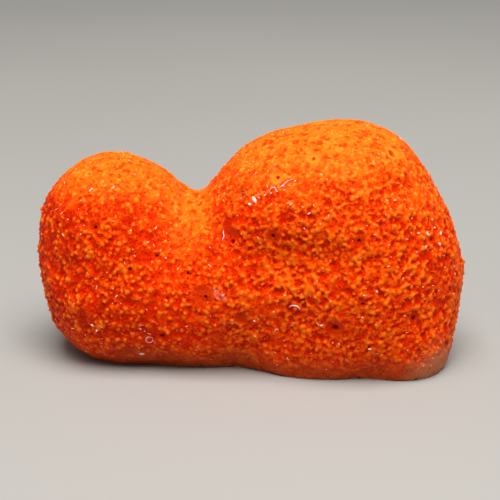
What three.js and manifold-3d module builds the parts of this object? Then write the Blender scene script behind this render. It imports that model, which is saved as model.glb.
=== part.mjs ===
// Sea sponge: a firm, cushion-shaped sponge with two rounded lobes and a notch between their tops.
// It grew as one body and is cut off flat where it sat on its rock. Millimetres, +Z up; the origin is
// on the flat cut, under the middle of the sponge, +X runs along both lobes and -Y is the front.
import * as THREE from "three";
import { mergeVertices } from "three/addons/utils/BufferGeometryUtils.js";
import Module from "manifold-3d";

const HEART = new THREE.Vector3(-2, 0, 16); // the whole skin can be seen from this point inside
const FARTHEST = 70; // no skin is farther than this from the heart
const BLEND = 2.2; // how far the lobes run into each other; larger is softer
const SKIN_STEPS = 16; // divisions along each edge of the icosahedron that the skin starts from
const BISECTIONS = 24;

// The lobes that run together into the body: centre, and radii along, through and up, in mm.
const LOBES = [
  { name: "left crown", centre: [-25.5, 2, 23], radii: [14.5, 13.5, 15.5] },
  { name: "left flank", centre: [-24.5, 1, 12.5], radii: [14.5, 14.5, 14.5] },
  { name: "bridge", centre: [-7, 0, 13], radii: [20, 15.5, 16.5] },
  { name: "right crown", centre: [8, 0.5, 25.5], radii: [16.5, 16, 17.5] },
  { name: "right shoulder", centre: [18.5, -1, 26.5], radii: [15.5, 16, 18.5] },
  { name: "right flank", centre: [22.5, -1.5, 15.5], radii: [17, 16, 19.5] },
  { name: "foot", centre: [13, -5, 5], radii: [14.5, 10.5, 11] },
  { name: "heel", centre: [28, -6, 3.5], radii: [8.5, 10, 8.5] },
];

// Swells and hollows of each face: centre and reach across (x) and up (z), and rise, in mm.
const FRONT_SWELLS = [
  { x: 9, z: 23.5, acrossX: 9, acrossZ: 3.4, rise: -1.8 }, // long hollow over the belly
  { x: 13, z: 16.5, acrossX: 11, acrossZ: 4.5, rise: 1.6 }, // belly
  { x: 26, z: 35, acrossX: 4.5, acrossZ: 3.2, rise: -0.9 },
  { x: -34.5, z: 20, acrossX: 4, acrossZ: 3, rise: -1.4 },
  { x: -33, z: 14, acrossX: 5, acrossZ: 3.5, rise: 1.0 },
  { x: -5, z: 3, acrossX: 8, acrossZ: 7, rise: -2.0 }, // fold between the lobes, near the rock
  { x: 24, z: 0, acrossX: 5, acrossZ: 5, rise: -2.0 }, // dent in the foot
];
const BACK_SWELLS = [
  { x: 18, z: 26, acrossX: 14, acrossZ: 10, rise: 1.5 },
  { x: -6, z: 24, acrossX: 6, acrossZ: 12, rise: -1.5 },
  { x: 30, z: 12, acrossX: 8, acrossZ: 7, rise: -1.6 },
  { x: 5, z: 9, acrossX: 12, acrossZ: 6, rise: 1.6 },
];

const wasm = await Module();
wasm.setup();

// Distance from a point to a lobe's skin, near enough for blending; negative inside.
function lobeDistance(point, { centre, radii }) {
  const [dx, dy, dz] = [point.x - centre[0], point.y - centre[1], point.z - centre[2]];
  const [rx, ry, rz] = radii;
  const share = Math.hypot(dx / rx, dy / ry, dz / rz);
  const slope = Math.hypot(dx / rx ** 2, dy / ry ** 2, dz / rz ** 2);
  return slope > 0 ? (share * (share - 1)) / slope : -Math.min(rx, ry, rz);
}

// Distance to the body, where the lobes melt together.
function bodyDistance(point) {
  const sum = LOBES.reduce((total, lobe) => total + Math.exp(-lobeDistance(point, lobe) / BLEND), 0);
  return -BLEND * Math.log(sum);
}

// How far the body's skin is from the heart in a direction.
function skinRadius(direction) {
  let inside = 0;
  let outside = FARTHEST;
  const point = new THREE.Vector3();
  for (let i = 0; i < BISECTIONS; i++) {
    const middle = (inside + outside) / 2;
    point.copy(HEART).addScaledVector(direction, middle);
    if (bodyDistance(point) < 0) inside = middle;
    else outside = middle;
  }
  return inside;
}

function riseAt(swells, { x, z }) {
  return swells.reduce(
    (sum, s) => sum + s.rise * Math.exp(-(((x - s.x) / s.acrossX) ** 2) - ((z - s.z) / s.acrossZ) ** 2),
    0,
  );
}

// The uncut body: a sphere of even triangles, drawn out from the heart to the skin.
function bodyGeometry() {
  const sphere = new THREE.IcosahedronGeometry(1, SKIN_STEPS);
  sphere.deleteAttribute("normal");
  sphere.deleteAttribute("uv");
  const skin = mergeVertices(sphere, 1e-5);
  const position = skin.getAttribute("position");
  const direction = new THREE.Vector3();
  const point = new THREE.Vector3();
  for (let i = 0; i < position.count; i++) {
    direction.fromBufferAttribute(position, i).normalize();
    point.copy(HEART).addScaledVector(direction, skinRadius(direction));
    const rise = riseAt(direction.y < 0 ? FRONT_SWELLS : BACK_SWELLS, point);
    point.addScaledVector(direction, rise * Math.abs(direction.y));
    position.setXYZ(i, point.x, point.y, point.z);
  }
  return skin;
}

function toSolid(geometry) {
  const mesh = new wasm.Mesh({
    numProp: 3,
    vertProperties: geometry.getAttribute("position").array,
    triVerts: new Uint32Array(geometry.index.array),
  });
  return new wasm.Manifold(mesh);
}

function toGeometry(solid) {
  const { vertProperties, triVerts } = solid.getMesh();
  return new THREE.BufferGeometry()
    .setAttribute("position", new THREE.BufferAttribute(vertProperties, 3))
    .setIndex(new THREE.BufferAttribute(triVerts, 1));
}

// Takes away everything below the flat cut, Z = 0.
function cutFlat(geometry) {
  const rock = new THREE.BoxGeometry(3 * FARTHEST, 3 * FARTHEST, FARTHEST).translate(0, 0, -FARTHEST / 2);
  rock.deleteAttribute("normal");
  rock.deleteAttribute("uv");
  return toGeometry(toSolid(geometry).subtract(toSolid(mergeVertices(rock))));
}

// Moves the sponge sideways until its box is centred over the origin.
function centreOverOrigin(geometry) {
  geometry.computeBoundingBox();
  const middle = geometry.boundingBox.getCenter(new THREE.Vector3());
  return geometry.translate(-middle.x, -middle.y, 0);
}

function spongeBody() {
  const geometry = centreOverOrigin(cutFlat(bodyGeometry()));
  geometry.computeVertexNormals();
  const tissue = new THREE.MeshStandardMaterial({ color: 0xf25a0a, roughness: 0.6, metalness: 0 });
  const mesh = new THREE.Mesh(geometry, tissue);
  mesh.name = "sponge_body";
  return mesh;
}

const sponge = new THREE.Group();
sponge.add(spongeBody());

export default sponge;
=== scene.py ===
"""A sea sponge: a firm orange cushion sponge with two lobes, a pitted skin, round openings and stuck sand.

It grew as one body, and stands on the flat cut where it came off its rock. Lengths are in metres, +Z is up,
+X runs along both lobes and -Y is the front.
"""
import math
import random
from typing import NamedTuple

import bmesh
import bpy
from bpy.props import FloatProperty, FloatVectorProperty, IntProperty, PointerProperty
from mathutils import Matrix, Vector, kdtree
from mathutils.bvhtree import BVHTree


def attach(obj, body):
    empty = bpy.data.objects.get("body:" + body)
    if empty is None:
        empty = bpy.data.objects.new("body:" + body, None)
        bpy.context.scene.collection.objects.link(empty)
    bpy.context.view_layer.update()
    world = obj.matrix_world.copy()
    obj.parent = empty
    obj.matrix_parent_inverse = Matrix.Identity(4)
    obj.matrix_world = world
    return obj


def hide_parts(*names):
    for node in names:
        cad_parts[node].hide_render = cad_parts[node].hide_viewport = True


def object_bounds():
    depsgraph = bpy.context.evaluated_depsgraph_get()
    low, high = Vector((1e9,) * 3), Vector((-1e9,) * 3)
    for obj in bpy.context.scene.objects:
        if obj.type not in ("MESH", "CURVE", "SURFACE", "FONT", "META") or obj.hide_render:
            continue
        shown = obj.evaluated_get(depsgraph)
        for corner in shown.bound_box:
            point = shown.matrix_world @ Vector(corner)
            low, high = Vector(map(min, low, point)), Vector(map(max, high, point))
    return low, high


bl_info = {
    "name": "Sea Sponge",
    "version": (1, 0, 0),
    "blender": (4, 5, 0),
    "location": "3D View > Sidebar > Sponge",
    "description": "Grows a two-lobed sea sponge with pits, granules, openings and stuck sand",
    "category": "Add Mesh",
}

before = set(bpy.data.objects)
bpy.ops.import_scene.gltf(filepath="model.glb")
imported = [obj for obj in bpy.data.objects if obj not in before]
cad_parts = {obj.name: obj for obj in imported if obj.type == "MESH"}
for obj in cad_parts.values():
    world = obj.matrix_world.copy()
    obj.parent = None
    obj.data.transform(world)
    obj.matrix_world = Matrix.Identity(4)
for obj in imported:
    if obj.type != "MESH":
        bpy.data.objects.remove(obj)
CAD_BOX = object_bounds()

MM = 0.001
BODY = "sponge_body"  # the CAD node that the skin stands for
RIDES_ON = "root"
FAR = 0.2  # outside the sponge, whichever side it is seen from
MERGE = 1e-7

# Colours of the tissue where it differs from the panel's, as linear values; the crown colours are partly
# painted top light, and the darkest hollows and the holes are painted shade.
CROWN_PIT = (0.92, 0.06, 0.002)
CROWN_GRANULE = (0.98, 0.3, 0.03)
HOLLOW_SHADE = (0.4, 0.006, 0.0003)  # painted shade in the darkest hollows, away from the crowns
DISH = (0.62, 0.022, 0.001)
CROWN_DISH = (0.98, 0.26, 0.02)
# painted shade inside the openings
HOLE_SHADE = (0.7, 0.01, 0.001)

HEEL = (34 * MM, -12 * MM, 1 * MM)  # the middle of the bare tissue low at the right
FILM_LIFT = 0.3 * MM
FILM_THICKNESS = 0.06 * MM
FLOOR_HALF = 3.0
ROOM_COLOUR = (1.0, 0.96, 0.9)
ROOM_STRENGTH = 0.2
LIGHT_PLACE = (0.04, -0.27, 0.87)
LIGHT_AIM = (0, 0, 0.02)
LIGHT_SIZE = 0.7
LIGHT_POWER = 14.5  # watts
LIGHT_COLOUR = (1.0, 0.97, 0.92)

# The way one looks at each side, and which of x, y and z its two measures are along.
SIDES = {
    "front": (Vector((0, 1, 0)), (0, 2)),
    "back": (Vector((0, -1, 0)), (0, 2)),
    "left": (Vector((1, 0, 0)), (1, 2)),
    "right": (Vector((-1, 0, 0)), (1, 2)),
    "top": (Vector((0, 0, -1)), (0, 1)),
}


class Opening(NamedTuple):
    """A round opening that water leaves by, in the smooth dish round it.

    Across and along are shares of the body's box on its side. The rest is in mm, and degrees for turn.
    """

    across: float
    along: float
    hole: float = 0.3  # radius; 0 is a dish with no opening in it
    dish: float = 1.2  # radius
    longer: float = 1.0  # an oval hole's length over its width
    turn: float = 0.0  # of an oval hole's length, from level
    dish_aside: float = 0.0  # where the dish's middle is from the hole
    dish_up: float = 0.0


OPENINGS = {
    "front": (
        Opening(0.13, 0.80, 0.22, 0.9, 1.5, 30),  # left lobe, from its crown down
        Opening(0.28, 0.73, 0.16, 0.8),
        Opening(0.15, 0.62, 0.33, 1.15),
        Opening(0.29, 0.51, 0.24, 0.6),
        Opening(0.23, 0.46, 0.20, 0.5),
        Opening(0.30, 0.18, 0.32, 0.9, 1.6, 20),
        Opening(0.36, 0.45, 0.20, 0.5),  # saddle between the lobes
        Opening(0.40, 0.36, 0.32, 2.4, 1.0, 0, -0.5, 0.2),
        Opening(0.46, 0.57, 0.42, 2.3, 1.2, 90, -0.7, 1.0),
        Opening(0.48, 0.27, 0.0, 1.5),
        Opening(0.48, 0.75, 0.28, 1.3),  # right crown
        Opening(0.53, 0.90, 0.22, 1.0),
        Opening(0.56, 0.83, 0.32, 1.3),
        Opening(0.64, 0.90, 0.36, 1.6),
        Opening(0.71, 0.87, 0.18, 1.0),
        Opening(0.82, 0.91, 0.55, 1.7, 1.5, -25),
        Opening(0.55, 0.61, 0.4, 1.6),  # right lobe, down to the rock
        Opening(0.74, 0.61, 0.3, 1.2),
        Opening(0.91, 0.58, 0.36, 1.0),
        Opening(0.75, 0.36, 0.24, 0.7),
        Opening(0.69, 0.25, 0.62, 2.1),
        Opening(0.87, 0.28, 0.42, 1.3, 1.3, 90),
        Opening(0.93, 0.32, 0.0, 1.2),
    ),
    "back": (
        Opening(0.16, 0.66, 0.34, 1.3),
        Opening(0.26, 0.38, 0.42, 1.8),
        Opening(0.11, 0.24, 0.24, 0.9),
        Opening(0.39, 0.53, 0.28, 1.2),
        Opening(0.51, 0.77, 0.30, 1.3),
        Opening(0.56, 0.38, 0.36, 1.5, 1.3, 60),
        Opening(0.66, 0.69, 0.26, 1.1),
        Opening(0.74, 0.22, 0.50, 1.9),
        Opening(0.81, 0.53, 0.34, 1.4),
        Opening(0.91, 0.38, 0.22, 0.9),
        Opening(0.78, 0.84, 0.28, 1.2),
        Opening(0.46, 0.18, 0.20, 0.8),
    ),
    "left": (
        Opening(0.56, 0.53, 0.28, 1.1),
    ),
    "right": (
        Opening(0.58, 0.66, 0.30, 1.2),
        Opening(0.67, 0.27, 0.22, 0.9),
    ),
    "top": (
        Opening(0.66, 0.53, 0.34, 1.4),
        Opening(0.56, 0.64, 0.24, 1.0),
        Opening(0.76, 0.61, 0.30, 1.2),
        Opening(0.19, 0.61, 0.30, 1.2),
    ),
}


class Swell(NamedTuple):
    """A rise of the front of the body, or a sink where it is below 0.

    Across and along are shares of the body's box. The rest is in mm.
    """

    across: float
    along: float
    reach_across: float
    reach_along: float
    rise: float


SWELLS = (
    Swell(0.60, 0.56, 6.5, 2.6, -0.5),  # long hollow over the belly
    Swell(0.64, 0.33, 11.0, 6.0, 0.9),  # belly
    Swell(0.67, 0.19, 11.0, 5.0, 0.8),
    Swell(0.82, 0.78, 2.6, 1.8, -0.5),  # dimple high on the right lobe
    Swell(0.07, 0.43, 3.0, 2.4, -1.0),  # hollow at the left edge
    Swell(0.09, 0.29, 4.0, 2.8, 0.6),
    Swell(0.23, 0.20, 3.0, 2.0, -0.5),
)


class Fleck(NamedTuple):
    """A flat bit of shell on the front of the skin.

    Across and along are shares of the body's box. The rest is in mm, and degrees for turn.
    """

    across: float
    along: float
    long: float = 0.5
    wide: float = 0.25
    turn: float = 0.0
    aside: float = 0.0  # how far it is from that place, along +X
    up: float = 0.0


FLECKS = (
    Fleck(0.51, 0.74, 1.5, 0.75, 60),  # the large chip at the low end of the line of crumbs
    Fleck(0.50, 0.72, 0.8, 0.5, 20),
    Fleck(0.14, 0.75, 1.0, 0.4, -35),
    Fleck(0.19, 0.76, 0.9, 0.3, -50),
    Fleck(0.27, 0.56, 0.4, 0.25, 10),
    Fleck(0.31, 0.50, 0.35, 0.25, 80),
    Fleck(0.24, 0.51, 0.4, 0.2, 60),
    Fleck(0.14, 0.22, 0.7, 0.35, 20),
    Fleck(0.15, 0.20, 0.4, 0.3, -50),
    Fleck(0.25, 0.21, 0.6, 0.3, 40),
    Fleck(0.26, 0.20, 0.4, 0.25, 0),
    Fleck(0.25, 0.08, 1.1, 0.7, 10),
    Fleck(0.44, 0.37, 0.7, 0.25, -40),
    Fleck(0.46, 0.25, 0.4, 0.3, 0),
    Fleck(0.51, 0.26, 0.45, 0.2, 30),
    Fleck(0.66, 0.26, 0.6, 0.25, -20),
    Fleck(0.70, 0.18, 0.5, 0.3, 70),
    Fleck(0.77, 0.16, 0.7, 0.35, 0),
    Fleck(0.78, 0.41, 0.6, 0.3, 50),
    Fleck(0.82, 0.75, 0.6, 0.3, -20),
    Fleck(0.62, 0.65, 0.4, 0.25, 45),
    Fleck(0.63, 0.71, 0.6, 0.22, -40),
    Fleck(0.64, 0.74, 0.5, 0.2, 60),
    Fleck(0.59, 0.74, 0.7, 0.28, -40),
)
FLECK_OUTLINE = (  # for a fleck two across and two wide
    (1.0, 0.0), (0.55, 0.8), (-0.3, 1.0), (-0.9, 0.45), (-1.0, -0.25), (-0.35, -0.9), (0.5, -0.7),
)
CRUST_AT = (0.91, 0.58)  # the opening at the right that has a broken ring of crust round it
CRUST_REACH = 1.7  # from the middle of that opening to the crust, in mm
CRUST_TURNS = (-150, -40, 15, 75, 130)  # where round it the crust still is, in degrees
CRUMB_LINE = ((0.52, 0.75), (0.60, 0.82))  # the ends of the line of crumbs on the right crown, as shares
CRUMBS = 7


class Thread(NamedTuple):
    """A pale thread on the front of the skin.

    Across and along are shares of the body's box. The thread runs through places that are given from there,
    in mm, as its radius is.
    """

    across: float
    along: float
    places: tuple
    radius: float


def circle(radius, steps=8):
    """Places round a closed ring."""
    turns = (2 * math.pi * i / steps for i in range(steps + 1))
    return tuple((radius * math.cos(turn), radius * math.sin(turn)) for turn in turns)


THREADS = (
    Thread(0.60, 0.33, ((-1.0, -0.3), (-0.5, 0.2), (0.0, 0.3), (0.5, 0.1), (1.0, -0.4)), 0.13),
    Thread(0.44, 0.59, ((0.1, 0.8), (0.0, 0.3), (0.1, -0.3), (-0.2, -0.9)), 0.085),
    Thread(0.52, 0.76, ((-0.8, -0.5), (0.1, 0.1), (1.0, 0.6)), 0.09),
    Thread(0.55, 0.78, ((-0.6, -0.3), (-0.2, 0.4), (0.3, 0.5), (0.7, 0.0)), 0.08),
    Thread(0.58, 0.81, ((-1.2, -0.7), (-0.4, -0.3), (0.3, 0.2), (1.2, 0.7)), 0.08),
    Thread(0.56, 0.22, ((-0.3, -0.2), (-0.1, 0.2), (0.2, 0.2), (0.4, -0.2)), 0.08),
    Thread(0.27, 0.16, circle(0.65), 0.05),
)
FILM_AT = (0.43, 0.38)  # shares of the body's box
FILM = (  # its outline from there, in mm
    (-1.0, 1.1), (-1.0, -0.2), (-0.4, -1.0), (0.7, -1.4), (1.4, -1.0), (0.2, 0.2),
)


def srgb(red, green, blue):
    """A colour given from 0 to 255, as the linear values that Blender's sockets hold."""
    values = (v / 255 for v in (red, green, blue))
    return tuple(v / 12.92 if v <= 10 / 255 else ((v + 0.055) / 1.055) ** 2.4 for v in values)


def length(name, description, default):
    return FloatProperty(
        name=name, description=description, default=default, subtype="DISTANCE", unit="LENGTH"
    )


def share(name, description, default):
    return FloatProperty(name=name, description=description, default=default, min=0, max=1, subtype="FACTOR")


def colour(name, description, default):
    return FloatVectorProperty(
        name=name, description=description, default=default, min=0, max=1, size=3, subtype="COLOR"
    )


class SkinSettings(bpy.types.PropertyGroup):
    """Sizes and colours of the sponge's skin."""

    face_size: length("Face Size", "Side of the skin's faces before they are thinned", 0.22 * MM)
    triangles: IntProperty(name="Triangles", description="The most that the skin has", default=196000)
    pit_spacing: length("Pit Spacing", "How far apart the pits are", 1.9 * MM)
    pit_depth: length("Pit Depth", "From the ridges down to a pit's floor", 0.34 * MM)
    granule_spacing: length("Granule Spacing", "How far apart the small granules are", 0.84 * MM)
    granule_height: length("Granule Height", "How far a granule stands up", 0.4 * MM)
    grain_height: length("Grain Height", "Height of the fine unevenness", 0.09 * MM)
    canal_depth: length("Canal Depth", "How far the canals go in from the cut", 0.9 * MM)
    hole_depth: length("Hole Depth", "How far an opening goes in", 1.1 * MM)
    dish_depth: length("Dish Depth", "Sink of the smooth dish round an opening", 0.5 * MM)
    collar_height: length("Collar Height", "Height of the thin lip round an opening", 0.13 * MM)
    seed: IntProperty(name="Seed", description="Chooses where the granules and canals are", default=7)
    # The pit colour is partly painted shade, and the granule colour partly painted light on the tips.
    pit_colour: colour("Pit Colour", "Colour deep in the pits", (0.86, 0.02, 0.0005))
    ridge_colour: colour("Ridge Colour", "Colour of the ridges", (0.95, 0.1, 0.002))
    granule_colour: colour("Granule Colour", "Colour of the granules", (0.98, 0.19, 0.01))
    # The crown colour is partly painted top light.
    crown_colour: colour("Crown Colour", "Colour of the ridges on the crowns", (0.97, 0.17, 0.006))
    # Painted shade low on the body, over the duller tissue beside the cut.
    margin_colour: colour("Margin Colour", "Colour of the skin beside the cut", (0.45, 0.055, 0.012))
    heel_colour: colour("Heel Colour", "Colour of the bare tissue low at the right", srgb(192, 112, 74))
    cut_colour: colour("Cut Colour", "Colour of the tissue inside, on the cut", srgb(226, 140, 74))


class GritSettings(bpy.types.PropertyGroup):
    """Sizes and colours of the sand grains and splinters that stick all over the skin."""

    spacing: length("Spacing", "How far apart the grains are at the closest", 1.3 * MM)
    stay: share("Stay", "Share of the places that have a grain", 0.2)
    grain_size: length("Grain Size", "Radius of an ordinary grain", 0.1 * MM)
    splinter_size: length("Splinter Size", "Length of an ordinary splinter", 0.5 * MM)
    seed: IntProperty(name="Seed", description="Chooses where the grains stick", default=3)
    pale: colour("Pale", "Colour of the palest grains", srgb(255, 236, 214))
    dark: colour("Dark", "Colour of the darkest grains", srgb(236, 168, 120))


class FleckSettings(bpy.types.PropertyGroup):
    """Thickness and colours of the shell flecks."""

    thickness: length("Thickness", "How thick a fleck is", 0.09 * MM)
    pale: colour("Pale", "Colour of the palest flecks", srgb(255, 240, 240))
    dark: colour("Dark", "Colour of the darkest flecks", srgb(238, 170, 150))


class ThreadSettings(bpy.types.PropertyGroup):
    """Lift and colours of the pale threads and of the clear film."""

    lift: length("Lift", "How far a thread stands off the skin", 0.05 * MM)
    pale: colour("Pale", "Colour of the palest threads", srgb(255, 226, 236))
    dark: colour("Dark", "Colour of the darkest threads", srgb(240, 160, 160))
    film: colour("Film", "Colour of the clear film", srgb(250, 110, 70))


class StageSettings(bpy.types.PropertyGroup):
    """The floor and the camera."""

    floor_colour: colour("Floor Colour", "Colour of the floor", (0.34, 0.338, 0.33))
    camera_distance: length("Camera Distance", "From the camera to the middle of the sponge", 262 * MM)
    camera_climb: FloatProperty(
        name="Camera Climb", description="How far the camera looks down", default=math.radians(18),
        subtype="ANGLE",
    )
    aim_height: length("Aim Height", "Height of the point that the camera looks at", 20.4 * MM)
    lens: FloatProperty(name="Lens", description="Focal length, in mm", default=100)


class Nodes:
    """Adds nodes to a tree. An input takes a plain value or another node's output."""

    def __init__(self, tree):
        self.tree = tree

    def add(self, kind, inputs=None, **settings):
        """One node, with its settings made and its inputs fed by name or number."""
        node = self.tree.nodes.new(kind)
        for name, value in settings.items():
            setattr(node, name, value)
        for key, value in (inputs or {}).items():
            if isinstance(value, bpy.types.NodeSocket):
                self.tree.links.new(value, node.inputs[key])
            else:
                node.inputs[key].default_value = value
        return node

    def math(self, operation, *values, clamp=False):
        node = self.add("ShaderNodeMath", dict(enumerate(values)), operation=operation, use_clamp=clamp)
        return node.outputs[0]

    def product(self, *values):
        result = values[0]
        for value in values[1:]:
            result = self.math("MULTIPLY", result, value)
        return result

    def total(self, *values):
        result = values[0]
        for value in values[1:]:
            result = self.math("ADD", result, value)
        return result

    def vector(self, operation, *values, scale=None):
        inputs = dict(enumerate(values))
        if scale is not None:
            inputs["Scale"] = scale
        node = self.add("ShaderNodeVectorMath", inputs, operation=operation)
        return node.outputs["Value" if operation in ("DISTANCE", "LENGTH", "DOT_PRODUCT") else "Vector"]

    def ramp(self, value, start, end, low=0.0, high=1.0):
        """Runs smoothly from low to high while value goes from start to end."""
        inputs = dict(enumerate((value, start, end, low, high)))
        return self.add("ShaderNodeMapRange", inputs, interpolation_type="SMOOTHSTEP").outputs[0]

    def mix(self, factor, a, b):
        return self.add("ShaderNodeMix", {0: factor, 2: a, 3: b}).outputs[0]

    def blend(self, factor, a, b):
        """Mixes two colours; a plain colour is three numbers."""
        a, b = (v if isinstance(v, bpy.types.NodeSocket) else (*v, 1) for v in (a, b))
        return self.add("ShaderNodeMix", {0: factor, 6: a, 7: b}, data_type="RGBA").outputs[2]

    def noise(self, place, size, detail=2.0, roughness=0.5, output="Fac"):
        """Noise whose lumps are about size across, in metres."""
        inputs = {"Vector": place, "Scale": 1 / size, "Detail": detail, "Roughness": roughness}
        return self.add("ShaderNodeTexNoise", inputs).outputs[output]

    def cells(self, place, size, output, **settings):
        """Cells about size across: how far their middle or their border is, or their own random colour."""
        inputs = {"Vector": place, "Scale": 1 / size}
        return self.add("ShaderNodeTexVoronoi", inputs, **settings).outputs[output]

    def axis(self, place, name):
        return self.add("ShaderNodeSeparateXYZ", {0: place}).outputs[name]


def new_object(name, mesh):
    made = bpy.data.objects.new(name, mesh)
    bpy.context.scene.collection.objects.link(made)
    return made


def make_real(piece):
    """Turns what the modifiers show into the piece's own mesh, and takes the modifiers off."""
    now = bpy.context.evaluated_depsgraph_get()
    seen = piece.evaluated_get(now)
    shown = bpy.data.meshes.new_from_object(seen, preserve_all_data_layers=True, depsgraph=now)
    piece.modifiers.clear()
    piece.data = shown


def add_tree(piece, tree, values):
    """Puts a node tree on a piece, with its named inputs set."""
    modifier = piece.modifiers.new(tree.name, "NODES")
    modifier.node_group = tree
    for item in tree.interface.items_tree:
        if item.name in values:
            modifier[item.identifier] = values[item.name]


def by_label(settings):
    """A panel's settings under the names that the node trees know them by."""
    names = type(settings).__annotations__
    return {name.replace("_", " ").title(): getattr(settings, name) for name in names}


def geometry_tree(name, inputs):
    """An empty geometry tree with a geometry going in and out, and these other named inputs."""
    tree = bpy.data.node_groups.new(name, "GeometryNodeTree")
    tree.interface.new_socket("Geometry", in_out="OUTPUT", socket_type="NodeSocketGeometry")
    tree.interface.new_socket("Geometry", in_out="INPUT", socket_type="NodeSocketGeometry")
    for label, kind in inputs.items():
        tree.interface.new_socket(label, in_out="INPUT", socket_type="NodeSocket" + kind)
    return tree


def end_tree(nodes, geometry, material):
    """Ends a geometry tree as each one ends: realized, with its material set."""
    real = nodes.add("GeometryNodeRealizeInstances", {"Geometry": geometry}).outputs[0]
    coated = nodes.add("GeometryNodeSetMaterial", {"Geometry": real, "Material": material}).outputs[0]
    nodes.add("NodeGroupOutput", {0: coated})


def scatter(nodes, mesh, spacing, seed):
    """Points spread evenly over a mesh, no closer to each other than spacing."""
    inputs = {"Mesh": mesh, "Distance Min": spacing, "Density Max": 6e6, "Seed": seed}
    return nodes.add("GeometryNodeDistributePointsOnFaces", inputs, distribute_method="POISSON")


def nearest(nodes, points, place):
    """How far the nearest of the points is from a place, and which point that is."""
    which = nodes.add("GeometryNodeSampleNearest", {"Geometry": points, "Sample Position": place}).outputs[0]
    own = nodes.add("GeometryNodeInputPosition").outputs[0]
    inputs = {"Geometry": points, "Value": own, "Index": which}
    spot = nodes.add("GeometryNodeSampleIndex", inputs, data_type="FLOAT_VECTOR").outputs[0]
    return nodes.vector("DISTANCE", place, spot), which


def chance(nodes, low, high, which, seed):
    """A random number that is the same all round one point."""
    return nodes.add("FunctionNodeRandomValue", {2: low, 3: high, 7: which, 8: seed}).outputs[1]


def mark(nodes, marks, name, which, kind="FLOAT"):
    """What a named attribute says at one of the marks."""
    value = nodes.add("GeometryNodeInputNamedAttribute", {"Name": name}, data_type=kind).outputs[0]
    inputs = {"Geometry": marks, "Value": value, "Index": which}
    return nodes.add("GeometryNodeSampleIndex", inputs, data_type=kind).outputs[0]


def bent_place(nodes, place):
    """Where things are is bent a little, so that no pit is quite round and no ridge quite straight."""
    bend = nodes.vector("SUBTRACT", nodes.noise(place, 1.3 * MM, 2, 0.5, "Color"), (0.5, 0.5, 0.5))
    return nodes.vector("ADD", place, nodes.vector("SCALE", bend, scale=2.2 * MM))


def ridge_height(nodes, place, spacing):
    """From 0 on a pit's floor to 1 on the ridges between the pits."""
    in_spacings = nodes.vector("SCALE", place, scale=nodes.math("DIVIDE", 1, spacing))
    border = nodes.cells(in_spacings, 1, "Distance", feature="DISTANCE_TO_EDGE")
    return nodes.ramp(border, 0.02, 0.3, 1, 0)


def granule_height(nodes, skin, given, place, ridge, lone):
    """From 0 to 1 on the tips of the small granules, which crowd on the ridges and stand alone elsewhere."""
    seed = nodes.total(given["Seed"], 50)
    points = scatter(nodes, skin, given["Granule Spacing"], seed).outputs["Points"]
    away, which = nearest(nodes, points, place)
    width = chance(nodes, 0.42 * MM, 0.8 * MM, which, 21)
    luck = chance(nodes, 0.0, 1.0, which, 22)
    cone = nodes.ramp(nodes.math("DIVIDE", away, width), 0, 1, 1, 0)
    crowded = nodes.product(nodes.mix(luck, 0.3, 1.0), nodes.mix(ridge, 0.15, 1.0))
    alone = nodes.ramp(luck, 0.45, 0.9, 0.12, 1.0)
    return nodes.product(cone, nodes.mix(lone, crowded, alone))


def canal_depth(nodes, skin, given, place):
    """From 0 on the cut to 1 inside the canals that were cut across."""
    seed = nodes.total(given["Seed"], 90)
    points = scatter(nodes, skin, 1.7 * MM, seed).outputs["Points"]
    away, which = nearest(nodes, points, place)
    width = chance(nodes, 0.15 * MM, 0.7 * MM, which, 31)
    return nodes.ramp(away, nodes.product(width, 0.6), width, 1, 0)


def opening_shape(nodes, given, place):
    """The sink at each opening, how far into a dish a point is and how far into a hole, and the way out."""
    holes = nodes.add("GeometryNodeObjectInfo", {"Object": given["Holes"]}).outputs["Geometry"]
    dishes = nodes.add("GeometryNodeObjectInfo", {"Object": given["Dishes"]}).outputs["Geometry"]
    away, which = nearest(nodes, dishes, place)
    reach = nodes.math("DIVIDE", away, mark(nodes, dishes, "radius", which))
    dish = nodes.ramp(reach, 0.62, 1.05, 1, 0)
    sink = nodes.product(nodes.ramp(reach, 0.1, 1.1, 1, 0), given["Dish Depth"])

    own = nodes.add("GeometryNodeInputPosition").outputs[0]
    which = nodes.add("GeometryNodeSampleNearest", {"Geometry": holes, "Sample Position": place}).outputs[0]
    inputs = {"Geometry": holes, "Value": own, "Index": which}
    middle = nodes.add("GeometryNodeSampleIndex", inputs, data_type="FLOAT_VECTOR").outputs[0]
    out = mark(nodes, holes, "out", which, "FLOAT_VECTOR")
    squeeze = mark(nodes, holes, "squeeze", which, "FLOAT_VECTOR")
    arm = nodes.vector("SUBTRACT", place, middle)
    along = nodes.vector("SCALE", squeeze, scale=nodes.vector("DOT_PRODUCT", arm, squeeze))
    arm = nodes.vector("LENGTH", nodes.vector("SUBTRACT", arm, along))
    ring = nodes.math("DIVIDE", arm, mark(nodes, holes, "radius", which))
    hole = nodes.ramp(ring, 0.62, 1.02, 1, 0)
    from_lip = nodes.math("ABSOLUTE", nodes.math("SUBTRACT", ring, 1.3))
    lip = nodes.product(nodes.ramp(from_lip, 0, 0.55, 1, 0), given["Collar Height"])
    sink = nodes.total(sink, nodes.product(hole, given["Hole Depth"]), nodes.product(lip, -1))
    return sink, dish, hole, out


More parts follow.
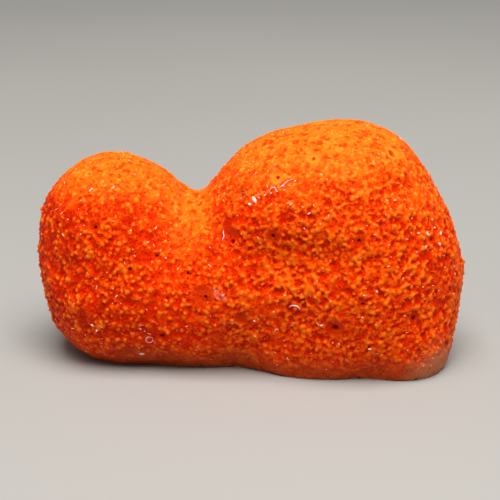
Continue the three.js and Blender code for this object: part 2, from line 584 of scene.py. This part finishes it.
def relief_tree():
    """Geometry nodes that raise the ridges and granules, and sink the pits, dishes, holes and canals."""
    tree = geometry_tree("Sponge Relief", {
        "Pit Spacing": "Float", "Pit Depth": "Float", "Granule Spacing": "Float", "Granule Height": "Float",
        "Grain Height": "Float", "Canal Depth": "Float", "Hole Depth": "Float", "Dish Depth": "Float",
        "Collar Height": "Float", "Seed": "Int", "Holes": "Object", "Dishes": "Object", "Tissue": "Material",
    })
    nodes = Nodes(tree)
    given = nodes.add("NodeGroupInput").outputs
    skin = given["Geometry"]
    place = nodes.add("GeometryNodeInputPosition").outputs[0]
    normal = nodes.add("GeometryNodeInputNormal").outputs[0]
    height = nodes.axis(place, "Z")

    bent = bent_place(nodes, place)
    patch = nodes.math("SUBTRACT", nodes.noise(place, 10 * MM, 2), 0.5)
    side = nodes.ramp(nodes.axis(place, "X"), -22 * MM, 8 * MM, 0.8, 0.38)
    lone = nodes.math("ADD", side, nodes.product(patch, 1.2), clamp=True)  # 0 is ridges, 1 is lone granules
    ridge = ridge_height(nodes, bent, given["Pit Spacing"])
    granule = granule_height(nodes, skin, given, place, ridge, lone)
    upward = nodes.ramp(nodes.axis(normal, "Z"), 0.3, 0.95)
    wander = nodes.product(nodes.noise(place, 9 * MM, 1), 6 * MM)
    margin = nodes.ramp(nodes.math("ADD", height, wander), 4.5 * MM, 10.5 * MM, 1, 0)
    sunk = nodes.product(nodes.math("SUBTRACT", ridge, 1), given["Pit Depth"], nodes.mix(lone, 1.0, 0.25))
    lump = nodes.math("SUBTRACT", nodes.noise(place, 1.2 * MM, 1), 0.5)
    raised = nodes.total(nodes.product(granule, given["Granule Height"]), nodes.product(lump, 0.8 * MM))
    strength = nodes.product(nodes.mix(upward, 1.0, 0.55), nodes.mix(margin, 1.0, 0.22))
    dots = nodes.ramp(nodes.cells(bent, 1.5 * MM, "Distance"), 0.2, 0.38, 1, 0)  # lone pits on the crowns
    smooth = nodes.product(upward, 0.85)
    relief = nodes.product(nodes.total(sunk, raised), strength)
    faint = nodes.total(nodes.product(dots, -0.3 * MM), nodes.product(raised, 0.25))
    relief = nodes.mix(smooth, relief, faint)
    grain = nodes.math("SUBTRACT", nodes.noise(place, 0.45 * MM, 2), 0.5)
    grain = nodes.product(grain, given["Grain Height"], 2)
    swell = nodes.product(nodes.math("SUBTRACT", nodes.noise(place, 5 * MM, 1), 0.5), 0.9 * MM)

    sink, dish, hole, out = opening_shape(nodes, given, place)
    rough = nodes.math("SUBTRACT", 1, dish)
    low = nodes.ramp(height, 0.1 * MM, 0.6 * MM, 1, 0)
    cut = nodes.product(nodes.ramp(nodes.axis(normal, "Z"), -0.6, -0.9), low)
    free = nodes.math("SUBTRACT", 1, cut)
    canal = nodes.product(canal_depth(nodes, skin, given, bent), cut)
    rise = nodes.product(nodes.total(nodes.product(relief, rough), grain, swell), free)
    moved = nodes.vector("ADD", place, nodes.vector("SCALE", normal, scale=rise))
    moved = nodes.vector("ADD", moved, nodes.vector("SCALE", out, scale=nodes.product(sink, -1)))
    lift = nodes.add("ShaderNodeCombineXYZ", {"Z": nodes.product(canal, given["Canal Depth"])}).outputs[0]
    moved = nodes.vector("ADD", moved, lift)
    moved = nodes.vector("MAXIMUM", moved, (-1, -1, 0))  # nothing is under the floor

    shape = skin
    # The tone sets the tissue's colour: low in the pits, which take partly painted shade, and high on the
    # granules, which take partly painted light.
    tone = nodes.total(granule, nodes.product(ridge, nodes.mix(lone, 0.5, 0.06)), lump)
    even = nodes.total(0.42, nodes.product(dots, -0.75), nodes.product(granule, 0.25))
    tone = nodes.mix(smooth, tone, even)
    kept = {"tone": tone, "upward": upward, "dish": dish, "hole": hole, "cut": cut, "canal": canal}
    for name, value in kept.items():
        inputs = {"Geometry": shape, "Name": name, "Value": value}
        store = nodes.add("GeometryNodeStoreNamedAttribute", inputs, data_type="FLOAT", domain="POINT")
        shape = store.outputs[0]
    shape = nodes.add("GeometryNodeSetPosition", {"Geometry": shape, "Position": moved}).outputs[0]
    shape = nodes.add("GeometryNodeSetShadeSmooth", {"Geometry": shape}).outputs[0]
    end_tree(nodes, shape, given["Tissue"])
    return tree


def attribute(nodes, name):
    return nodes.add("ShaderNodeAttribute", attribute_name=name).outputs["Fac"]


def new_material(name):
    """A material whose tree holds only a Principled BSDF and its output."""
    material = bpy.data.materials.new(name)
    material.use_nodes = True
    return material, Nodes(material.node_tree), material.node_tree.nodes["Principled BSDF"]


def finish_shader(nodes, shader, linked, **plain):
    """Links the varying sockets, and sets the even ones by name with _ for a space."""
    for name, socket in linked.items():
        nodes.tree.links.new(socket, shader.inputs[name])
    for name, value in plain.items():
        shader.inputs[name.replace("_", " ")].default_value = value


def tissue_material(skin):
    """Living tissue: red in the pits, orange on the ridges, amber on the crowns, paler by the cut; with
    painted shade in the hollows, openings and low down, and painted top light on the crowns.
    """
    material, nodes, shader = new_material("sponge_tissue")
    place = nodes.add("ShaderNodeTexCoord").outputs["Object"]
    height = nodes.axis(place, "Z")
    tone = attribute(nodes, "tone")
    dish, hole = attribute(nodes, "dish"), attribute(nodes, "hole")
    broad = nodes.noise(place, 9 * MM, 2)
    fine = nodes.noise(place, 0.4 * MM, 3, 0.65)
    patchy = nodes.noise(place, 2.5 * MM, 2)

    # The crown mask is high where the skin faces up and stands high; its yellower colours are partly the
    # paler tissue of the crowns and partly painted top light.
    high = nodes.ramp(height, 10 * MM, 40 * MM, -0.3, 0.25)
    crown = nodes.ramp(nodes.total(attribute(nodes, "upward"), high, broad, -0.5), 0.1, 0.95)
    ridge = nodes.blend(crown, skin.ridge_colour, skin.crown_colour)
    pit = nodes.blend(crown, skin.pit_colour, CROWN_PIT)
    # The colour runs from pit to ridge to granule with the tone: partly the tissue's own colour, partly
    # painted shade deep in the pits and painted light on the granule tips.
    level = nodes.total(tone, nodes.product(fine, 0.9), nodes.product(patchy, 0.4), -0.66)
    shade = nodes.blend(nodes.ramp(level, -0.05, 0.6), pit, ridge)
    granule = nodes.ramp(nodes.total(level, nodes.product(fine, 0.4)), 0.55, 1.15)
    shade = nodes.blend(granule, shade, nodes.blend(crown, skin.granule_colour, CROWN_GRANULE))
    # Painted shade: the pits away from the crowns are darkened further, in patches.
    hollow_shade = nodes.ramp(nodes.total(patchy, broad, fine), 1.3, 1.7, 0.6, 0)
    hollow_shade = nodes.product(hollow_shade, nodes.ramp(level, 0.45, 0.1), nodes.math("SUBTRACT", 1, crown))
    shade = nodes.blend(hollow_shade, shade, HOLLOW_SHADE)
    # The dishes on the crowns are paler too, partly painted top light.
    smooth = nodes.blend(crown, DISH, CROWN_DISH)
    shade = nodes.blend(nodes.product(dish, 0.85), shade, smooth)

    wander = nodes.product(nodes.noise(place, 7 * MM, 2), 6 * MM)
    # Painted shade: darker and duller towards the base, where the body turns under, over the duller tissue
    # beside the cut.
    margin = nodes.ramp(nodes.math("ADD", height, wander), 3.5 * MM, 10 * MM, 1, 0)
    shade = nodes.blend(nodes.product(margin, 0.8), shade, skin.margin_colour)
    heel = nodes.vector("DISTANCE", place, HEEL)
    heel = nodes.ramp(nodes.math("ADD", heel, wander), 5 * MM, 11 * MM, 1, 0)
    shade = nodes.blend(heel, shade, skin.heel_colour)
    cut = attribute(nodes, "cut")
    inside = nodes.blend(fine, skin.cut_colour, srgb(240, 176, 110))
    # Painted shade deep in the canals on the cut.
    shade = nodes.blend(cut, shade, nodes.blend(attribute(nodes, "canal"), inside, srgb(150, 44, 10)))

    # Dark pinpricks: painted shade in the pores, which are not cut into the mesh; the bump dents them a
    # little.
    pore = nodes.ramp(nodes.cells(place, 0.6 * MM, "Distance"), 0.12, 0.3, 1, 0)
    pore = nodes.product(pore, nodes.ramp(level, 0.5, 0.2))
    shade = nodes.blend(nodes.product(pore, 0.75), shade, srgb(130, 10, 0))
    # Painted shade inside the openings.
    shade = nodes.blend(hole, shade, HOLE_SHADE)

    bump = nodes.add("ShaderNodeBump", {
        "Strength": 1.0, "Distance": 0.12 * MM,
        "Height": nodes.total(fine, nodes.product(pore, -1.0)),
    }).outputs[0]
    rough = nodes.ramp(nodes.noise(place, 0.9 * MM, 2), 0.3, 0.7, 0.4, 0.62)
    finish_shader(
        nodes, shader, {"Base Color": shade, "Roughness": rough, "Normal": bump},
        Subsurface_Weight=0.3, Subsurface_Radius=(1.0, 0.25, 0.1), Subsurface_Scale=0.35 * MM,
        Specular_IOR_Level=0.1, Specular_Tint=(1.0, 0.5, 0.12, 1),
    )
    return material


def ray_tree(mesh):
    """A mesh, ready for rays."""
    return BVHTree.FromPolygons([v.co for v in mesh.vertices], [p.vertices[:] for p in mesh.polygons])


def on_skin(tree, side, across, along, aside=0.0, up=0.0):
    """Where one meets the skin when looking straight at a side, and the way out of it there.

    Across and along are shares of the body's box; aside and up go on from there, in mm.
    """
    way, axes = SIDES[side]
    low, high = CAD_BOX
    start = -FAR * way
    for axis, part, more in zip(axes, (across, along), (aside, up)):
        start[axis] = low[axis] + part * (high[axis] - low[axis]) + more * MM
    place, out, _, _ = tree.ray_cast(start, way)
    if place is None:
        raise ValueError(f"nothing of the sponge is at {across}, {along} on the {side}")
    return place, out


def marks_object(name, rows):
    """A cloud of points that carries each row's radius, way out and squeeze for the node tree to read."""
    mesh = bpy.data.meshes.new(name)
    mesh.from_pydata([row[0] for row in rows], [], [])
    radius = mesh.attributes.new("radius", "FLOAT", "POINT")
    radius.data.foreach_set("value", [row[1] for row in rows])
    for label, column in (("out", 2), ("squeeze", 3)):
        layer = mesh.attributes.new(label, "FLOAT_VECTOR", "POINT")
        layer.data.foreach_set("vector", [v for row in rows for v in row[column]])
    return new_object(name, mesh)


def opening_marks(body):
    """The holes and the dishes, each as a cloud of points on the skin."""
    tree = ray_tree(body.data)
    holes, dishes = [], []
    for side, spot in ((side, spot) for side, spots in OPENINGS.items() for spot in spots):
        place, out = on_skin(tree, side, spot.across, spot.along)
        level = SIDES[side][0].cross(Vector((0, 1, 0) if side == "top" else (0, 0, 1)))
        level = (level - out * level.dot(out)).normalized()
        long_way = Matrix.Rotation(math.radians(spot.turn), 3, out) @ level
        squeeze = long_way * math.sqrt(1 - 1 / spot.longer)
        if spot.hole:
            holes.append((place, spot.hole * MM, out, squeeze))
        middle, out = on_skin(tree, side, spot.across, spot.along, spot.dish_aside, spot.dish_up)
        dishes.append((middle, spot.dish * MM, out, (0, 0, 0)))
    return marks_object("hole_marks", holes), marks_object("dish_marks", dishes)


def refine(mesh, marks, reach):
    """Splits the faces round each hole, so that its rim comes out round."""
    near = kdtree.KDTree(len(marks.vertices))
    for i, vertex in enumerate(marks.vertices):
        near.insert(vertex.co, i)
    near.balance()
    bm = bmesh.new()
    bm.from_mesh(mesh)
    radius = marks.attributes["radius"].data
    close = set()
    for vertex in bm.verts:
        _, index, away = near.find(vertex.co)
        if away < reach * radius[index].value + 0.1 * MM:
            close.add(vertex)
    edges = [e for e in bm.edges if e.verts[0] in close or e.verts[1] in close]
    bmesh.ops.subdivide_edges(bm, edges=edges, cuts=1, use_grid_fill=True)
    bmesh.ops.triangulate(bm, faces=[f for f in bm.faces if len(f.verts) > 4])
    bm.to_mesh(mesh)
    bm.free()


def even_body(skin):
    """The body's CAD shape as one closed mesh of small even faces, with its facets smoothed away."""
    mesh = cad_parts[BODY].data.copy()
    bm = bmesh.new()
    bm.from_mesh(mesh)
    bmesh.ops.remove_doubles(bm, verts=bm.verts, dist=MERGE)
    bm.to_mesh(mesh)
    bm.free()
    body = new_object("sponge_skin", mesh)
    body.data.materials.clear()
    even = body.modifiers.new("Even Faces", "REMESH")
    even.mode = "VOXEL"
    even.voxel_size = skin.face_size
    soft = body.modifiers.new("No Facets", "SMOOTH")
    soft.factor = 0.5
    soft.iterations = 12
    make_real(body)
    return body


def swell(mesh):
    """Raises and sinks the front of the body as the table of swells says."""
    low, high = CAD_BOX
    ways = [vertex.normal.y for vertex in mesh.vertices]  # all read before any vertex moves
    wide, tall = high[0] - low[0], high[2] - low[2]
    middles = [(low[0] + each.across * wide, low[2] + each.along * tall) for each in SWELLS]
    for vertex, way in zip(mesh.vertices, ways):
        if way > 0:
            continue
        rise = 0
        for each, (x, z) in zip(SWELLS, middles):
            across = (vertex.co.x - x) / (each.reach_across * MM)
            along = (vertex.co.z - z) / (each.reach_along * MM)
            rise += each.rise * math.exp(-across * across - along * along)
        vertex.co.y -= rise * MM * way * way


class SPONGE_OT_skin(bpy.types.Operator):
    """Grow the skin, with its ridges, pits, granules, openings and flat cut"""

    bl_idname = "sponge.skin"
    bl_label = "Skin"

    def execute(self, context):
        skin = context.scene.sponge_skin
        body = even_body(skin)
        swell(body.data)
        holes, dishes = opening_marks(body)
        refine(body.data, holes.data, 2.2)
        given = {"Holes": holes, "Dishes": dishes, "Tissue": tissue_material(skin)}
        add_tree(body, relief_tree(), by_label(skin) | given)
        make_real(body)
        body.data.calc_loop_triangles()
        thin = body.modifiers.new("Thinner Mesh", "DECIMATE")
        thin.ratio = min(1, skin.triangles / len(body.data.loop_triangles))
        make_real(body)
        for marks in (holes, dishes):
            bpy.data.objects.remove(marks)
        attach(body, RIDES_ON)
        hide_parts(BODY)
        return {"FINISHED"}


def body_tree():
    """The finished skin, ready for rays; the bits that stick to it are laid on this."""
    return ray_tree(bpy.data.objects["sponge_skin"].data)


def mottle_group():
    """A shader group that gives each bit its own tone, with fine specks over it."""
    group = bpy.data.node_groups.new("Mottle", "ShaderNodeTree")
    group.interface.new_socket("Speck Size", in_out="INPUT", socket_type="NodeSocketFloat")
    group.interface.new_socket("Pale", in_out="INPUT", socket_type="NodeSocketColor")
    group.interface.new_socket("Dark", in_out="INPUT", socket_type="NodeSocketColor")
    group.interface.new_socket("Color", in_out="OUTPUT", socket_type="NodeSocketColor")
    group.interface.new_socket("Specks", in_out="OUTPUT", socket_type="NodeSocketFloat")
    nodes = Nodes(group)
    given = nodes.add("NodeGroupInput").outputs
    place = nodes.add("ShaderNodeTexCoord").outputs["Object"]
    fine = nodes.vector("SCALE", place, scale=nodes.math("DIVIDE", 1, given["Speck Size"]))
    specks = nodes.add("ShaderNodeTexNoise", {"Vector": fine, "Scale": 1.0, "Detail": 2.0}).outputs["Fac"]
    own = nodes.noise(place, 1.3 * MM, 0)
    tone = nodes.ramp(nodes.math("ADD", specks, own), 0.75, 1.2)
    nodes.add("NodeGroupOutput", {"Color": nodes.blend(tone, given["Dark"], given["Pale"]), "Specks": specks})
    return group


def bit_material(name, settings, speck, **plain):
    """Sand, shell or thread: pale, with its own mottling."""
    material, nodes, shader = new_material(name)
    group = bpy.data.node_groups.get("Mottle") or mottle_group()
    inputs = {"Speck Size": speck, "Pale": (*settings.pale, 1), "Dark": (*settings.dark, 1)}
    mottle = nodes.add("ShaderNodeGroup", node_tree=group)
    for key, value in inputs.items():
        mottle.inputs[key].default_value = value
    height = {"Strength": 0.5, "Distance": 0.02 * MM, "Height": mottle.outputs["Specks"]}
    bump = nodes.add("ShaderNodeBump", height).outputs[0]
    rough = nodes.ramp(mottle.outputs["Specks"], 0.3, 0.7, 0.35, 0.6)
    linked = {"Base Color": mottle.outputs["Color"], "Normal": bump, "Roughness": rough}
    finish_shader(nodes, shader, linked, **plain)
    return material


def grit_tree():
    """Geometry nodes that stick grains and splinters to a skin."""
    tree = geometry_tree("Stuck Grit", {
        "Skin": "Object", "Spacing": "Float", "Stay": "Float", "Grain Size": "Float",
        "Splinter Size": "Float", "Seed": "Int", "Sand": "Material",
    })
    nodes = Nodes(tree)
    given = nodes.add("NodeGroupInput").outputs
    skin = nodes.add("GeometryNodeObjectInfo", {"Object": given["Skin"]}).outputs["Geometry"]
    spread = scatter(nodes, skin, given["Spacing"], given["Seed"])
    points, turned = spread.outputs["Points"], spread.outputs["Rotation"]
    place = nodes.add("GeometryNodeInputPosition").outputs[0]
    which = nodes.add("GeometryNodeInputIndex").outputs[0]
    luck = chance(nodes, 0.0, 1.0, which, 41)
    crowd = nodes.ramp(nodes.noise(place, 6 * MM, 1), 0.35, 0.65, 0.35, 1.9)
    high = nodes.ramp(nodes.axis(place, "Z"), 1 * MM, 3 * MM)
    keep = nodes.math("LESS_THAN", luck, nodes.product(given["Stay"], crowd, high))
    kind = chance(nodes, 0.0, 1.0, which, 42)
    grains = nodes.product(keep, nodes.math("LESS_THAN", kind, 0.72))
    splinters = nodes.product(keep, nodes.math("GREATER_THAN", kind, 0.72))
    inputs = {"Radius": given["Grain Size"], "Subdivisions": 1}
    ball = nodes.add("GeometryNodeMeshIcoSphere", inputs).outputs["Mesh"]
    rod = nodes.add("GeometryNodeMeshCylinder", {
        "Vertices": 5, "Radius": nodes.product(given["Grain Size"], 0.62), "Depth": given["Splinter Size"],
    }).outputs["Mesh"]
    laid = nodes.add("GeometryNodeTransform", {"Geometry": rod, "Rotation": (math.pi / 2, 0, 0)}).outputs[0]
    spin = nodes.add("ShaderNodeCombineXYZ", {"Z": chance(nodes, 0.0, 6.28, which, 43)}).outputs[0]
    turned = nodes.add("FunctionNodeRotateRotation", {"Rotation": turned, "Rotate By": spin},
                       rotation_space="LOCAL").outputs[0]
    parts = []
    for shape, chosen, low, high, seed in ((ball, grains, 0.6, 1.5, 44), (laid, splinters, 0.6, 1.4, 45)):
        stretch = nodes.add("ShaderNodeCombineXYZ", {
            "X": chance(nodes, low, high, which, seed), "Y": chance(nodes, low, high, which, seed + 10),
            "Z": chance(nodes, 0.6, 1.0, which, seed + 20),
        }).outputs[0]
        parts.append(nodes.add("GeometryNodeInstanceOnPoints", {
            "Points": points, "Selection": chosen, "Instance": shape, "Rotation": turned, "Scale": stretch,
        }).outputs[0])
    joined = nodes.add("GeometryNodeJoinGeometry")
    for part in parts:
        tree.links.new(part, joined.inputs[0])
    end_tree(nodes, joined.outputs[0], given["Sand"])
    return tree


class SPONGE_OT_grit(bpy.types.Operator):
    """Stick sand grains and splinters to the skin"""

    bl_idname = "sponge.grit"
    bl_label = "Grit"

    def execute(self, context):
        grit = context.scene.sponge_grit
        piece = new_object("sand_grit", bpy.data.meshes.new("sand_grit"))
        given = {"Skin": bpy.data.objects["sponge_skin"], "Sand": bit_material("sand", grit, 0.08 * MM)}
        add_tree(piece, grit_tree(), by_label(grit) | given)
        make_real(piece)
        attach(piece, RIDES_ON)
        return {"FINISHED"}


def crust():
    """The bits of the broken ring round one opening."""
    draw = random.Random(5)
    for turn in CRUST_TURNS:
        angle = math.radians(turn)
        yield Fleck(
            *CRUST_AT, draw.uniform(0.6, 0.9), draw.uniform(0.33, 0.4), turn + 90,
            CRUST_REACH * math.cos(angle), CRUST_REACH * math.sin(angle),
        )


def crumbs():
    """The small bits that lie in a line on the right crown."""
    draw = random.Random(11)
    (left, low), (right, high) = CRUMB_LINE
    for i in range(CRUMBS):
        part = i / (CRUMBS - 1)
        yield Fleck(
            left + part * (right - left), low + part * (high - low), draw.uniform(0.3, 0.6),
            draw.uniform(0.18, 0.28), draw.uniform(-60, 60), 0, draw.uniform(-0.3, 0.3),
        )


class SPONGE_OT_flecks(bpy.types.Operator):
    """Lay the flat bits of shell on the skin"""

    bl_idname = "sponge.flecks"
    bl_label = "Flecks"

    def execute(self, context):
        settings = context.scene.sponge_flecks
        tree = body_tree()
        bm = bmesh.new()
        for fleck in (*FLECKS, *crust(), *crumbs()):
            self.add_fleck(bm, tree, fleck, settings.thickness)
        bmesh.ops.recalc_face_normals(bm, faces=bm.faces)
        mesh = bpy.data.meshes.new("shell_flecks")
        bm.to_mesh(mesh)
        bm.free()
        mesh.materials.append(bit_material("shell", settings, 0.15 * MM))
        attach(new_object("shell_flecks", mesh), RIDES_ON)
        return {"FINISHED"}

    def add_fleck(self, bm, tree, fleck, thickness):
        """A closed chip: an outline, domed outside and flat against the skin."""
        at = (tree, "front", fleck.across, fleck.along)
        place, _ = on_skin(*at, fleck.aside, fleck.up)
        reach = max(0.6, fleck.long / 2)
        left, right, above = (
            on_skin(*at, fleck.aside + x * reach, fleck.up + z * reach)[0]
            for x, z in ((-1, -1), (1, -1), (0, 1))
        )
        out = (right - left).cross(above - left).normalized()
        level = Vector((1, 0, 0))
        level = (level - out * level.dot(out)).normalized()
        long_way = Matrix.Rotation(math.radians(-fleck.turn), 3, out) @ level
        wide_way = out.cross(long_way)
        rims = []
        for shrink, lift in ((0.9, -1.0), (1.0, 1.2), (0.6, 2.0)):
            rims.append([
                bm.verts.new(
                    place + long_way * x * shrink * fleck.long / 2 * MM
                    + wide_way * y * shrink * fleck.wide / 2 * MM + out * lift * thickness
                )
                for x, y in FLECK_OUTLINE
            ])
        count = len(FLECK_OUTLINE)
        for low, high in zip(rims, rims[1:]):
            for i in range(count):
                bm.faces.new((low[i], low[(i + 1) % count], high[(i + 1) % count], high[i]))
        bm.faces.new(rims[0])
        bm.faces.new(rims[-1])


class SPONGE_OT_threads(bpy.types.Operator):
    """Lay the pale threads and the clear film on the skin"""

    bl_idname = "sponge.threads"
    bl_label = "Threads"

    def execute(self, context):
        settings = context.scene.sponge_threads
        tree = body_tree()
        self.add_threads(tree, settings)
        self.add_film(tree, settings)
        return {"FINISHED"}

    def add_threads(self, tree, settings):
        curve = bpy.data.curves.new("pale_threads", "CURVE")
        curve.dimensions = "3D"
        curve.bevel_depth = MM
        curve.bevel_resolution = 1
        curve.use_fill_caps = True
        curve.resolution_u = 6
        for thread in THREADS:
            spline = curve.splines.new("BEZIER")
            spline.bezier_points.add(len(thread.places) - 1)
            for i, (point, (aside, up)) in enumerate(zip(spline.bezier_points, thread.places)):
                place, out = on_skin(tree, "front", thread.across, thread.along, aside, up)
                point.co = place + out * (settings.lift + 0.5 * thread.radius * MM)
                point.handle_left_type = point.handle_right_type = "AUTO"
                end = i in (0, len(thread.places) - 1)
                point.radius = thread.radius * (0.4 if end else 1)
        piece = new_object("thread_curves", curve)
        now = bpy.context.evaluated_depsgraph_get()
        mesh = bpy.data.meshes.new_from_object(piece.evaluated_get(now))
        bpy.data.objects.remove(piece)
        mesh.name = "pale_threads"
        mesh.materials.clear()
        mesh.materials.append(bit_material("thread", settings, 0.2 * MM))
        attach(new_object("pale_threads", mesh), RIDES_ON)

    def add_film(self, tree, settings):
        corners = [on_skin(tree, "front", *FILM_AT, aside, up) for aside, up in FILM]
        bm = bmesh.new()
        outer = [bm.verts.new(place + Vector((0, -FILM_LIFT, 0))) for place, _ in corners]
        inner = [bm.verts.new(place + Vector((0, FILM_THICKNESS - FILM_LIFT, 0))) for place, _ in corners]
        count = len(corners)
        bm.faces.new(outer)
        bm.faces.new(inner)
        for i in range(count):
            bm.faces.new((inner[i], inner[(i + 1) % count], outer[(i + 1) % count], outer[i]))
        bmesh.ops.triangulate(bm, faces=bm.faces)
        bmesh.ops.recalc_face_normals(bm, faces=bm.faces)
        mesh = bpy.data.meshes.new("clear_film")
        bm.to_mesh(mesh)
        bm.free()
        material, nodes, shader = new_material("clear_film")
        streaks = nodes.noise(nodes.add("ShaderNodeTexCoord").outputs["Object"], 0.5 * MM, 2)
        shade = nodes.blend(streaks, settings.film, settings.pale)
        clear = nodes.ramp(streaks, 0.35, 0.75, 0.03, 0.2)
        finish_shader(nodes, shader, {"Base Color": shade, "Alpha": clear}, Roughness=0.3)
        mesh.materials.append(material)
        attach(new_object("clear_film", mesh), RIDES_ON)


class SPONGE_OT_stage(bpy.types.Operator):
    """Set up the pale floor, the soft light and the camera"""

    bl_idname = "sponge.stage"
    bl_label = "Stage"

    def execute(self, context):
        stage = context.scene.sponge_stage
        self.make_floor(stage)
        self.make_light(context.scene)
        self.make_camera(context.scene, stage)
        context.scene.view_settings.view_transform = "Standard"
        return {"FINISHED"}

    def make_floor(self, stage):
        mesh = bpy.data.meshes.new("floor")
        corners = [(x * FLOOR_HALF, y * FLOOR_HALF, 0) for x, y in ((-1, -1), (1, -1), (1, 1), (-1, 1))]
        mesh.from_pydata(corners, [], [(0, 1, 2, 3)])
        floor = new_object("floor", mesh)
        material, nodes, shader = new_material("floor_paint")
        place = nodes.add("ShaderNodeTexCoord").outputs["Object"]
        cloudy = nodes.product(nodes.noise(place, 0.2, 1), 0.1)
        shade = nodes.blend(cloudy, stage.floor_colour, (0.9, 0.9, 0.9))
        finish_shader(nodes, shader, {"Base Color": shade}, Roughness=0.75)
        mesh.materials.append(material)

    def make_light(self, scene):
        world = bpy.data.worlds.new("soft_room")
        world.use_nodes = True
        background = world.node_tree.nodes["Background"]
        background.inputs["Color"].default_value = (*ROOM_COLOUR, 1)
        background.inputs["Strength"].default_value = ROOM_STRENGTH
        scene.world = world
        lamp = bpy.data.lights.new("key_light", "AREA")
        lamp.size = LIGHT_SIZE
        lamp.energy = LIGHT_POWER
        lamp.color = LIGHT_COLOUR
        light = bpy.data.objects.new("key_light", lamp)
        light.location = LIGHT_PLACE
        aim = Vector(LIGHT_AIM) - Vector(LIGHT_PLACE)
        light.rotation_euler = aim.to_track_quat("-Z", "Y").to_euler()
        scene.collection.objects.link(light)

    def make_camera(self, scene, stage):
        data = bpy.data.cameras.new("camera")
        data.lens = stage.lens
        data.sensor_width = 36
        camera = bpy.data.objects.new("camera", data)
        climb = stage.camera_climb
        back = Vector((0, -math.cos(climb), math.sin(climb)))
        camera.location = Vector((0, 0, stage.aim_height)) + back * stage.camera_distance
        camera.rotation_euler = (math.pi / 2 - climb, 0, 0)
        scene.collection.objects.link(camera)
        scene.camera = camera


class SPONGE_PT_panel(bpy.types.Panel):
    """Lists the pieces of the sponge and their settings"""

    bl_idname = "SPONGE_PT_panel"
    bl_label = "Sea Sponge"
    bl_space_type = "VIEW_3D"
    bl_region_type = "UI"
    bl_category = "Sponge"

    def draw(self, context):
        for name, operator in STEPS:
            box = self.layout.box()
            box.operator(operator)
            settings = getattr(context.scene, name)
            for setting in type(settings).__annotations__:
                box.prop(settings, setting)


STEPS = (
    ("sponge_skin", "sponge.skin"),
    ("sponge_grit", "sponge.grit"),
    ("sponge_flecks", "sponge.flecks"),
    ("sponge_threads", "sponge.threads"),
    ("sponge_stage", "sponge.stage"),
)
SETTINGS = {
    "sponge_skin": SkinSettings, "sponge_grit": GritSettings, "sponge_flecks": FleckSettings,
    "sponge_threads": ThreadSettings, "sponge_stage": StageSettings,
}
CLASSES = (
    *SETTINGS.values(), SPONGE_OT_skin, SPONGE_OT_grit, SPONGE_OT_flecks, SPONGE_OT_threads, SPONGE_OT_stage,
    SPONGE_PT_panel,
)


def register():
    for each in CLASSES:
        bpy.utils.register_class(each)
    for name, group in SETTINGS.items():
        setattr(bpy.types.Scene, name, PointerProperty(type=group))


def unregister():
    for name in SETTINGS:
        delattr(bpy.types.Scene, name)
    for each in reversed(CLASSES):
        bpy.utils.unregister_class(each)


def main():
    register()
    bpy.ops.sponge.skin()
    bpy.ops.sponge.grit()
    bpy.ops.sponge.flecks()
    bpy.ops.sponge.threads()
    bpy.ops.sponge.stage()


if __name__ == "__main__":
    main()
